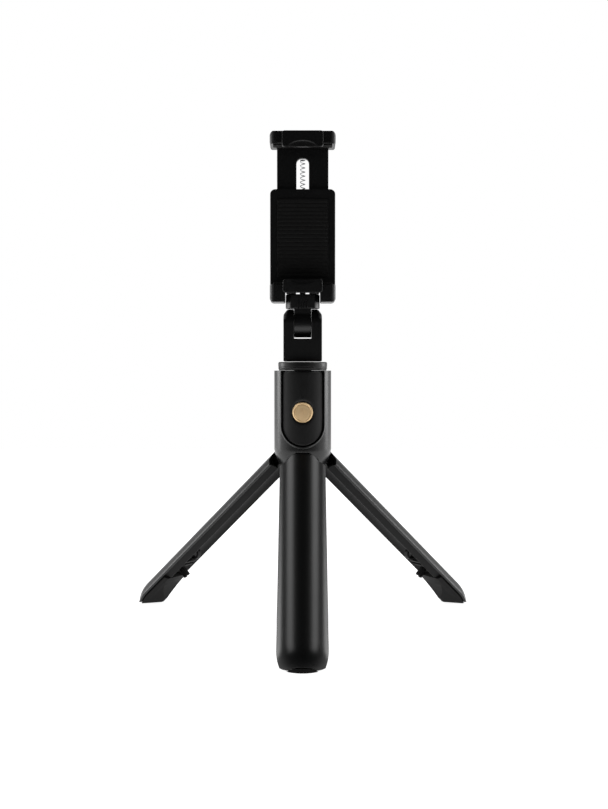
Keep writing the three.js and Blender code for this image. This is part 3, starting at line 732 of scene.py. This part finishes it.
def catches():
    """A round loop past the sleeve's end, two cross ribs and a pair of small hooks below them."""
    loop = turned([(1.9, -1.6, 0.3), (3.1, -1.6, 0.3), (3.1, 1.6, 0.3), (1.9, 1.6, 0.3)], 48, "x",
                  (-7.0, HINGE_Z - 81.5))
    parts = [loop]
    for distance in (86.5, 89.5):
        z = HINGE_Z - distance
        rib = rounded([(-9, z - 1), (-5.6, z - 1, 0.35), (-5.6, z, 0.35), (-9, z)])
        parts.append(prism(rib, -5.5, 5.5, "yz", 0.3))
    for distance in (92.4, 94.6):
        z = HINGE_Z - distance
        hook = rounded([(-8.5, z - 0.9), (-2.2, z - 0.9, 0.3), (-1.3, z - 1.5, 0.2), (-1.3, z, 0.4),
                        (-8.5, z, 0.1)])
        parts.append(prism(hook, -1.2, 1.2, "yz", 0.25))
    return together(*parts)


# %% Rubber toe
def ray_outline(centre_y, radius, inner_y, count=120):
    """A slice: along each ray, the nearest of the round outside, the two sides and the inner face."""
    turn = full_turn(count)
    dx, dy = np.cos(turn), np.sin(turn)
    b = centre_y * dy
    reach = -b + np.sqrt(b ** 2 - centre_y ** 2 + radius ** 2)
    slope, gap, wide = math.tan(math.pi / 6), 0.34, 11.4
    with np.errstate(divide="ignore", invalid="ignore"):
        for side in (-1, 1):
            facing = dy + side * dx * slope
            reach = np.where(facing > 1e-6, np.minimum(reach, (-gap - centre_y) / facing), reach)
            reach = np.where(side * dx > 1e-6, np.minimum(reach, wide / (side * dx)), reach)
        reach = np.where(dy > 1e-6, np.minimum(reach, (inner_y - centre_y) / dy), reach)
    return np.stack([reach * dx, centre_y + reach * dy], 1)


def toe(turn):
    """A slice of a round foot, cut to a turned outside, to the ground and to a hollow back."""
    start = LINER_END + 0.3
    low, high = HINGE_Z - 133, HINGE_Z - start
    foot = mesh_object("toe", swing(prism(ray_outline(-8.6, 16.0, -0.9), low, high, "xy", 0.01), turn))
    down = np.linspace(SHELL_END + 0.3, NOSE_START, 14)
    curve = [(nose(CHANNEL_R, s), HINGE_Z - s) for s in down]
    profile = [(0, HINGE_Z - 132), (9.0, HINGE_Z - 129.5), (10.35, HINGE_Z - 127.75, 0.6),
               (11.0, HINGE_Z - 125.5, 0.3), *curve, (CHANNEL_R, high), (0, high)]
    combine(foot, swing(turned(profile, 180), turn), "INTERSECT")
    back = np.linspace(0, 1, 24)[:, None]
    hollow = ((1 - back) ** 2 * [-5.2, start] + 2 * back * (1 - back) * [-4.4, start + 9]
              + back ** 2 * [TOE_INNER, ground_at(-0.9) - 3.6])
    ground = [(y, ground_at(y)) for y in (TOE_INNER, -16)]
    side = np.concatenate([[(-16, start)], hollow, ground])
    side[:, 1] = HINGE_Z - side[:, 1]
    combine(foot, swing(prism(side[::-1], -15, 15, "yz", 0.01), turn), "INTERSECT")
    tidy_mesh(foot.data)
    return foot


for side, turn in LEG_TURNS.items():
    body = f"leg_{side}"
    piece(f"{body}_skin", swing(leg_skin(), turn), LEG, body, "gloss_black", f"{body}_shell", bevel=0.25)
    inside = swing(together(channel(), hinge_knuckle(), catches()), turn)
    piece(f"{body}_channel", inside, MATT, body, "matt_black", f"{body}_liner")
    foot = toe(turn)
    foot.name = f"{body}_foot"
    finish(foot, RUBBER, body, "rubber", f"{body}_toe", sharp=32, bevel=0.3)

# %% [markdown]
# ## The remote
# The remote sits in the U with a thin dark line round it. Its face follows the collar's curve. The
# skin runs from the button's hole out to the edge, so the hole is part of the same surface, and
# closes behind. The gilt button is turned, with a bright chamfer and a small generic camera sign.

# %% Remote body
REMOTE_R, REMOTE_HALF, REMOTE_TOP = 14.1, 10.25, 128.7
REMOTE_REAR = -9.5
BUTTON_R, BUTTON_FACE = 5.15, -14.02
SIGN_FRONT, SIGN_REAR = -14.1, -14.0


def u_outline(half, top, count=144):
    """The remote's front outline, found along rays from the button's centre, top corners rounded."""
    arc = [(half * math.cos(a), REMOTE_ROUND_Z + half * math.sin(a)) for a in np.linspace(-np.pi, 0, 40)[1:]]
    dense = rounded([(half, top, 1.6), (-half, top, 1.6), (-half, REMOTE_ROUND_Z), *arc], 6, 0.02)
    ray = np.unwrap(np.arctan2(dense[:, 1] - BUTTON_Z, dense[:, 0]))
    order = np.argsort(ray)
    wanted = ray.min() + full_turn(count)
    closed_ray = np.append(ray[order], ray[order][0] + 2 * np.pi)
    closed = np.concatenate([dense[order], dense[order][:1]])
    return np.stack([np.interp(wanted, closed_ray, closed[:, k]) for k in (0, 1)], 1), wanted


def remote_body():
    edge, ray = u_outline(REMOTE_HALF, REMOTE_TOP)
    hole = (BUTTON_R + 0.25) * np.stack([np.cos(ray), np.sin(ray)], 1) + [0, BUTTON_Z]
    loops = []
    face = [(share, 0) for share in np.linspace(0.1, 0.93, 26)]
    for share, sink in [(0, 4.6), (0, 0.5), (0.02, 0.12), (0.05, 0), *face,
                        (0.96, 0.03), (0.98, 0.12), (0.993, 0.28), (1.0, 0.5)]:
        flat = hole + (edge - hole) * share
        y = -np.sqrt(np.maximum(REMOTE_R ** 2 - flat[:, 0] ** 2, 0)) + sink
        dish = 0.12 * np.exp(-((np.hypot(flat[:, 0], flat[:, 1] - BUTTON_Z) - 5.3) / 0.9) ** 2)
        loops.append(lift(flat, np.minimum(y + dish, REMOTE_REAR - 0.05), "xz"))
    loops.append(lift(edge, REMOTE_REAR, "xz"))
    return skin(loops, closed=True)


piece("remote_face", remote_body(), REMOTE, "remote", "satin_black", "remote_front", sharp=40)
back_edge, _ = u_outline(10.5, REMOTE_TOP - 0.1)
piece("remote_rear", prism(back_edge, -9.35, -8.6, "xz", 0.2), SATIN, "remote", "satin_black", "remote_back")


# %% Gilt button with a generic camera sign
def button():
    cap = turned([
        (0, BUTTON_FACE), (0.9, BUTTON_FACE, 0.2), (3.95, BUTTON_FACE, 0.1), (4.05, -13.9, 0.04),
        (4.25, -13.9, 0.04), (4.35, -14.04, 0.1), (4.62, -14.15, 0.06), (BUTTON_R, -13.7, 0.12),
        (BUTTON_R, -12.6, 0.1), (1.9, -12.6), (1.9, -11.65), (0, -11.65)], 112, "y", (0, BUTTON_Z), 5)
    z = BUTTON_Z
    frame_edge = symmetric([(1.75, z - 1.2, 0.4), (1.75, z + 1.1, 0.4),
                            (0.7, z + 1.1, 0.1), (0.45, z + 1.5, 0.1)], 6)
    lens = [circle(radius, 40, (0, z - 0.05)) for radius in (0.78, 0.56)]
    frame_sign, lens_sign = (ring_prism(*edges, SIGN_FRONT, SIGN_REAR, "xz", 0.02, 2)
                             for edges in ((frame_edge, inset(frame_edge, 0.2)), lens))
    return together(cap, frame_sign, lens_sign)


piece("shutter_button", button(), GOLD, "remote_button", "gold", "remote_button", sharp=30)

# %% [markdown]
# ## The head: disc, yoke and neck
# A disc ends the last tube, and the yoke stands on it. The yoke is one moulding: a U seen from the
# front and round-topped seen from the side, so its loops are U shapes whose prongs rise and fall
# with a half circle as they are carried from front to back. The neck's tongue swings between.

# %% Disc and yoke
TILT_Z, YOKE_X, YOKE_Y, YOKE_EDGE = 153.2, 9.85, 7.3, 0.45
YOKE_BOTTOM, SLOT_FLOOR, SLOT_HALF = 133.92, 145.5, 4.5
DISC_R, DISC_LOW = 12.6, 130.04
tube_bore = (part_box("tube_5")[1].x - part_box("tube_5")[0].x) / 2 / MM + 0.3
piece("disc", turned([
    (0, 132.92), (tube_bore, 132.92, 0.05), (tube_bore, DISC_LOW, 0.2), (8.0, DISC_LOW), (8.0, 129.26, 0.05),
    (12.3, 129.26, 0.1), (12.3, DISC_LOW), (DISC_R, DISC_LOW, 0.3), (DISC_R, 130.75, 0.12),
    (12.42, 130.85, 0.08), (12.42, 131.05, 0.08), (DISC_R, 131.15, 0.12), (DISC_R, 133.62, 0.7),
    (0, 133.62)], 120),
    SATIN, "head", "satin_black", "head_disc")


def yoke():
    """U-shaped loops. Above the tilt axis, heights are scaled by the sine of the turn from front to back."""
    top = TILT_Z + YOKE_Y + 0.1
    u = symmetric([(YOKE_X, YOKE_BOTTOM, 0.5), (YOKE_X, top - 2.6, 2.0), (YOKE_X - 1.9, top, 1.5),
                   (SLOT_HALF, top, 0.4), (SLOT_HALF, SLOT_FLOOR, 0.6)], 7)
    loops = []
    for turn in np.linspace(0, np.pi, 65):
        lean = np.sin(turn)
        y = -YOKE_Y * np.cos(turn)
        near = max(0.0, (abs(y) - (YOKE_Y - YOKE_EDGE)) / YOKE_EDGE)
        outline = inset(u, YOKE_EDGE * (1 - math.sqrt(max(0.0, 1 - near ** 2))))
        above = outline[:, 1] > TILT_Z
        outline[above, 1] = TILT_Z + (outline[above, 1] - TILT_Z) * lean
        loops.append(lift(outline, y, "xz"))
    return skin(loops)


yoke_piece = mesh_object("yoke_fork", yoke())
bolt_hole = prism(circle(1.8, 40, (0, TILT_Z)), -12, 12, "yz", 0.01)
head_seat = prism(circle(3.2, 56, (0, TILT_Z)), -12, -YOKE_X + 2.2, "yz", 0.01)
nut_seat = prism(circle(3.4, 6, (0, TILT_Z)), YOKE_X - 2.4, 12, "yz", 0.01)
for tool in (bolt_hole, head_seat, nut_seat):
    combine(yoke_piece, tool)
finish(yoke_piece, SATIN, "head", "satin_black", "yoke")


# %% Tilt bolt and nut
def hexagon(across_half, count=48):
    """Points on a hexagon: the flat's distance over the cosine of the angle from the flat's middle."""
    turn = full_turn(count)
    off = (turn + np.pi / 6) % (np.pi / 3) - np.pi / 6
    radius = across_half / np.cos(off)
    return np.stack([radius * np.cos(turn), radius * np.sin(turn)], 1) + [0, TILT_Z]


round_48 = lambda r: circle(r, 48, (0, TILT_Z))
bolt_loops = [(hexagon(1.2), -8.9), (hexagon(1.2), -9.55), (hexagon(1.32), -9.7), (round_48(2.6), -9.7),
              (round_48(2.85), -9.55), (round_48(2.9), -9.3), (round_48(2.9), -8.0), (round_48(1.5), -8.0),
              (round_48(1.5), 9.2), (round_48(1.35), 9.35)]
piece("bolt", skin([lift(o, x, "yz") for o, x in bolt_loops]), SCREW_STEEL, "head", "steel", "tilt_bolt")
piece("nut", ring_prism(hexagon(2.6), round_48(1.8), 7.75, 9.7, "yz", 0.12),
      SCREW_STEEL, "head", "steel", "tilt_nut")

# %% [markdown]
# The neck is two mouldings in one: a tongue with a round foot, drilled for the bolt, and a block
# with rounded corners and four fine grooves in its lower front, where the clamp turns on a screw.

# %% Neck
FOOT_R, SHANK_HALF, TONGUE_TOP = 7.0, 5.2, 162.0
BLOCK_BOTTOM, BLOCK_TOP = 160.9, 168.1
BLOCK_X, BLOCK_Y, BLOCK_R, GROOVE_Y = 8.7, 7.0, 8.84, -6.45
BLOCK_SIDE = (-2.8, -1.3, 1.3, 2.8)


def tongue():
    """Along each ray from the bolt: the round foot, then the flat sides, and a lid inside the block."""
    turn = full_turn(96)
    dy, dz = np.cos(turn), np.sin(turn)
    with np.errstate(divide="ignore"):
        side = np.where(dz > 0.3, SHANK_HALF / np.maximum(np.abs(dy), 1e-9), FOOT_R)
        lid = np.where(dz > 0, (TONGUE_TOP - TILT_Z) / np.maximum(dz, 1e-9), 99)
    reach = np.minimum(np.clip(side, FOOT_R, 99), lid)
    reach = np.where(dz * FOOT_R < math.sqrt(FOOT_R ** 2 - SHANK_HALF ** 2), FOOT_R, reach)
    outer = np.stack([reach * dy, TILT_Z + reach * dz], 1)
    return ring_prism(outer, circle(1.85, 96, (0, TILT_Z)), -4.4, 4.4, "yz", 0.12)


def block():
    """Loops of a rounded rectangle. Below the groove tops, the points at each groove lie deeper."""
    corners = [(-BLOCK_X, -BLOCK_Y, 2.6)]
    for x in (-2.1, -0.7, 0.7, 2.1):
        corners += [(x - 0.3, -BLOCK_Y, 0.08), (x - 0.24, GROOVE_Y, 0.06),
                    (x + 0.24, GROOVE_Y, 0.06), (x + 0.3, -BLOCK_Y, 0.08)]
    corners += [(BLOCK_X, -BLOCK_Y, 2.6), *((BLOCK_X, y) for y in BLOCK_SIDE), (BLOCK_X, BLOCK_Y, 2.6)]
    corners += [(-BLOCK_X, BLOCK_Y, 2.6), *((-BLOCK_X, y) for y in BLOCK_SIDE[::-1])]
    cut = rounded(corners, 5, 0.05)
    plain = cut.copy()
    plain[(np.abs(cut[:, 0]) < 3) & (cut[:, 1] < 0), 1] = -BLOCK_Y
    cut, plain = (o / np.maximum(np.hypot(*o.T) / BLOCK_R, 1)[:, None] for o in (cut, plain))
    loops = [(plain * 0.965, BLOCK_BOTTOM), (cut, BLOCK_BOTTOM + 0.3), (cut, 164.9), (plain, 165.1),
             (plain, BLOCK_TOP - 0.5), (plain * 0.985, BLOCK_TOP - 0.15), (plain * 0.96, BLOCK_TOP)]
    return skin([lift(o, z, "xy") for o, z in loops])


neck_piece = mesh_object("neck_block", block())
combine(neck_piece, tongue(), "UNION")
combine(neck_piece, prism(circle(1.8, 40), 161.6, 175, "xy", 0.01))
finish(neck_piece, SATIN, "neck", "satin_black", "neck")
piece("pivot_screw", turned([
    (0, 162), (1.5, 162, 0.3), (1.5, 171.5), (2.4, 171.5), (2.4, 172.7, 0.3), (0, 172.7)], 40),
    SCREW_STEEL, "clamp", "steel", "turn_screw")

# %% [markdown]
# ## The clamp
# The lower jaw is a bar with two short wings, and carries the flat back box. Each jaw has a hooked
# lip in front, with a shallow scoop for a fingertip. A lip's front is built from loops that close in on its
# middle, each sunk by the scoop's depth there, which is a smooth hill in width and height.

# %% Jaws and lips
JAW_HALF, JAW_FRONT, LIP_FRONT = 16.7, -10.4, -13.1
SHELF, UNDERSIDE, WING_BOTTOM, WING_INNER = 172.9, 170.0, 163.9, 8.97
BACK_FRONT, BACK_REAR, BACK_TOP, CAVITY = -1.9, 5.0, 222.0, 13.6
UPPER_SHELF, UPPER_TOP = 243.5, 250.0
SCOOP_HALF, SCOOP_DEPTH = 7.2, 0.55
SCREW_SPOTS = [(x, z) for x in (-14.9, 14.9) for z in (179.0, 217.0)]


def lip(half, low, high, scoop_z, rise):
    """A lip whose front is sunk by depth = most * root of max(0, 1 - (x / wide)^2 - (z / tall)^2)."""
    outline = symmetric([(half, low, 1.3), (half, high, 1.3)], 10)
    long = np.concatenate([outline, outline[:1]])
    steps = np.append(0, np.cumsum(np.linalg.norm(np.diff(long, axis=0), axis=1)))
    even = np.linspace(0, steps[-1], 145)[:-1]
    outline = np.stack([np.interp(even, steps, long[:, k]) for k in (0, 1)], 1)
    centre = np.array([0, (low + high) / 2])
    loops = [lift(outline, JAW_FRONT + 0.1, "xz"), lift(outline, LIP_FRONT + 0.5, "xz")]
    face = [(share, 0) for share in np.linspace(0.92, 0.02, 30)]
    for share, sink in [(0.994, 0.2), (0.98, 0.06), (0.955, 0.0), *face]:
        flat = centre + (outline - centre) * [share ** 0.6 if share > 0.95 else share, share]
        hill = 1 - (flat[:, 0] / SCOOP_HALF) ** 2 - ((flat[:, 1] - scoop_z) / rise) ** 2
        depth = SCOOP_DEPTH * np.sqrt(np.clip(hill, 0, 1))
        loops.append(lift(flat, LIP_FRONT + sink + depth, "xz"))
    return skin(loops)


lower_jaw = symmetric([(WING_INNER, UNDERSIDE, 0.5), (WING_INNER, WING_BOTTOM, 0.6),
                       (JAW_HALF, WING_BOTTOM, 2.0), (JAW_HALF, SHELF, 0.6)], 7)
clamp = mesh_object("clamp_frame", prism(lower_jaw, JAW_FRONT, BACK_REAR, "xz", 0.5, 5))


def round_ends(jaw):
    """Keeps what lies inside a plan with round front corners, so that each end turns towards the side."""
    plan = symmetric([(JAW_HALF, JAW_FRONT, 3.0), (JAW_HALF, 7, 0.5)], 12)
    return combine(jaw, prism(plan, 160, 255, "xy", 0.01), "INTERSECT")


round_ends(clamp)


def back_box():
    """A channel section carried upwards. Its outer corners close in along a quarter circle at the top."""
    section = symmetric([(JAW_HALF, BACK_FRONT, 0.5), (JAW_HALF, BACK_REAR, 0.3), (CAVITY, BACK_REAR, 0.3),
                         (CAVITY, BACK_FRONT + 1.4, 0.3)], 6)
    radius = 2.5
    heights = np.append(SHELF - 1.0, BACK_TOP - radius + radius * np.sin(np.linspace(0, np.pi / 2, 12)))
    loops = []
    for z in heights:
        rise = min(1.0, max(0.0, (z - BACK_TOP + radius) / radius))
        half = JAW_HALF - radius + radius * math.sqrt(1 - rise ** 2)
        x = section[:, 0]
        loop = section.copy()
        outer = np.abs(x) > CAVITY + 0.4
        loop[outer, 0] = np.sign(x[outer]) * (np.abs(x[outer]) - JAW_HALF + half)
        loop[:, 0] = np.where(outer, np.sign(x) * np.maximum(np.abs(loop[:, 0]), CAVITY + 0.35), loop[:, 0])
        loops.append(lift(loop, z, "xy"))
    return skin(loops)


combine(clamp, back_box(), "UNION")
combine(clamp, lip(10.0, 168.5, 175.2, 175.4, 2.9), "UNION")
for x in (-5.9, 5.9):
    rib = rounded([(x - 2.5, -6), (x + 2.5, -6), (x + 2.5, 3), (x - 2.5, 3)])
    combine(clamp, prism(rib, 168.5, 170.5, "xy", 0.2), "UNION")
combine(clamp, prism(circle(1.8, 40), 165, 171.4, "xy", 0.01))
combine(clamp, prism(circle(2.7, 48), 171.2, 173.2, "xy", 0.01))
finish(clamp, SATIN, "clamp", "satin_black", "clamp_body")

upper = mesh_object("top_jaw", prism(symmetric([(JAW_HALF, UPPER_SHELF, 1.2), (JAW_HALF, UPPER_TOP, 2.2)], 8),
                                     JAW_FRONT, BACK_REAR + 1.8, "xz", 0.5, 5))
round_ends(upper)
combine(upper, lip(10.4, 241.5, 249.6, 241.2, 3.4), "UNION")
combine(upper, prism(symmetric([(13.5, -0.4, 0.2), (13.5, 3.2, 0.2)], 5), 240, 248.4, "xy", 0.01))
finish(upper, SATIN, "upper_jaw", "satin_black", "jaw_upper")

# %% Slider, cover, screws, spring and pads
slider = symmetric([(3.2, 238.0, 2.6), (3.2, 194.0, 0.8), (13.2, 194.0, 1.5), (13.2, 248.0)], 8)
piece("slide_fork", prism(slider, -0.1, 2.9, "xz", 0.3), SATIN, "upper_jaw", "satin_black", "jaw_slider")

cover_edge = symmetric([(WING_INNER, UNDERSIDE, 0.5), (WING_INNER, 166.5, 0.5),
                        (JAW_HALF, 166.5, 2.0), (JAW_HALF, BACK_TOP, 2.5)], 8)
cover = mesh_object("rear_cover", prism(cover_edge, BACK_REAR + 0.3, BACK_REAR + 1.8, "xz", 0.35))
for spot in SCREW_SPOTS:
    combine(cover, prism(circle(1.72, 40, spot), 5.9, 8, "xz", 0.01))
finish(cover, SATIN, "clamp", "satin_black", "clamp_cover")


def screw(x, z):
    """A pan head with a cross recess: along each ray, its reach depends on the nearer arm's angle."""
    count = 64
    turn = full_turn(count)
    arm = np.minimum(np.abs(np.cos(turn)), np.abs(np.sin(turn)))
    cross = np.minimum(0.85, 0.24 / np.maximum(arm, 1e-6))
    shapes = [(cross * 0.8, 7.25), (cross, 7.66), (np.full(count, 1.15), 7.68), (np.full(count, 1.36), 7.58),
              (np.full(count, 1.5), 7.4), (np.full(count, 1.5), 7.02)]
    return skin([np.stack([x + r * np.cos(turn), np.full(count, y), z + r * np.sin(turn)], 1)
                 for r, y in shapes])


for number, spot in enumerate(SCREW_SPOTS, 1):
    piece(f"screw_{number}", screw(*spot), SCREW_STEEL, "clamp", "steel", f"cover_screw_{number}")


SPRING_Y = 1.4


def coil(low, high, radius=1.18, wire=0.2, turns=30):
    """A helix with closed end turns: the climb follows a smooth step. A small circle is carried along it."""
    t = np.linspace(0, 1, turns * 22)
    angle = t * turns * 2 * np.pi
    climb = np.clip((t - 0.04) / 0.92, 0, 1)
    z = low + wire + (high - low - 2 * wire) * (0.03 * t + 0.97 * climb)
    centre = np.stack([radius * np.cos(angle), SPRING_Y + radius * np.sin(angle), z], 1)
    out = np.stack([np.cos(angle), np.sin(angle), 0 * angle], 1)
    around = full_turn(8)
    rim = out[:, None] * np.cos(around)[:, None] + np.array([0, 0, 1]) * np.sin(around)[:, None]
    return skin(centre[:, None] + wire * rim)


spring = mesh_object("coil_spring", coil(179.0, 237.4))
spring.data.materials.append(SPRING_STEEL)
spring.data.shade_smooth()
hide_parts("clamp_spring")
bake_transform(spring)


PAD_ROUND, PAD_FRONT, PAD_REAR = 0.8, -9.8, -3.3


def ribbed_pad(width, low, high, back, front, ribs, plane):
    """A flat pad whose face is cut by even grooves: each section's thickness follows a raised cosine."""
    heights = np.linspace(low, high, 6 * ribs + 1)
    share = (heights - low) / (high - low)
    groove = np.clip(1.6 * np.cos(share * ribs * 2 * np.pi) - 0.7, 0, 1) * 0.22
    end = np.minimum(heights - low, high - heights)
    corner = np.clip(PAD_ROUND - end, 0, PAD_ROUND)
    narrow = PAD_ROUND - np.sqrt(PAD_ROUND ** 2 - corner ** 2)
    loops = []
    for h, g, n in zip(heights, groove, narrow):
        face = front + g * np.sign(back - front)
        half, shoulder = width - n, face + 0.1 * np.sign(back - front)
        section = np.array([(-half, back), (half, back), (half, shoulder), (half - 0.12, face),
                            (-half + 0.12, face), (-half, shoulder)])
        loops.append(lift(section, h, plane))
    return skin(loops)


piece("back_pad", ribbed_pad(13.0, 177.0, 217.0, -2.05, -2.7, 20, "xy"),
      RUBBER, "clamp", "rubber", "pad_back", sharp=25)
piece("lower_pad", ribbed_pad(15.0, PAD_FRONT, PAD_REAR, 173.05, 173.7, 4, "xz"),
      RUBBER, "clamp", "rubber", "pad_lower", sharp=25)
piece("upper_pad", ribbed_pad(15.0, PAD_FRONT, PAD_REAR, 243.35, 242.7, 4, "xz"),
      RUBBER, "upper_jaw", "rubber", "pad_upper", sharp=25)

# %% [markdown]
# ## Nodes that keep their own shape
# The core, the pins and what is inside the remote keep the frame's meshes, because they are right
# as they are. They only take a finish.

# %% Finishes for the carried-over nodes
CARRIED = {"collar_core": MATT, "remote_board": BOARD}
for name in ("hinge_pin_front", "hinge_pin_right", "hinge_pin_left", "remote_dome", "remote_cell"):
    CARRIED[name] = SCREW_STEEL
for name, material in CARRIED.items():
    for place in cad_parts[name].material_slots:
        place.material = material
shown = [n for n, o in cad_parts.items() if not o.hide_render]
print("nodes still shown:", shown)
print("without a new finish:", sorted(set(shown) - set(CARRIED)))
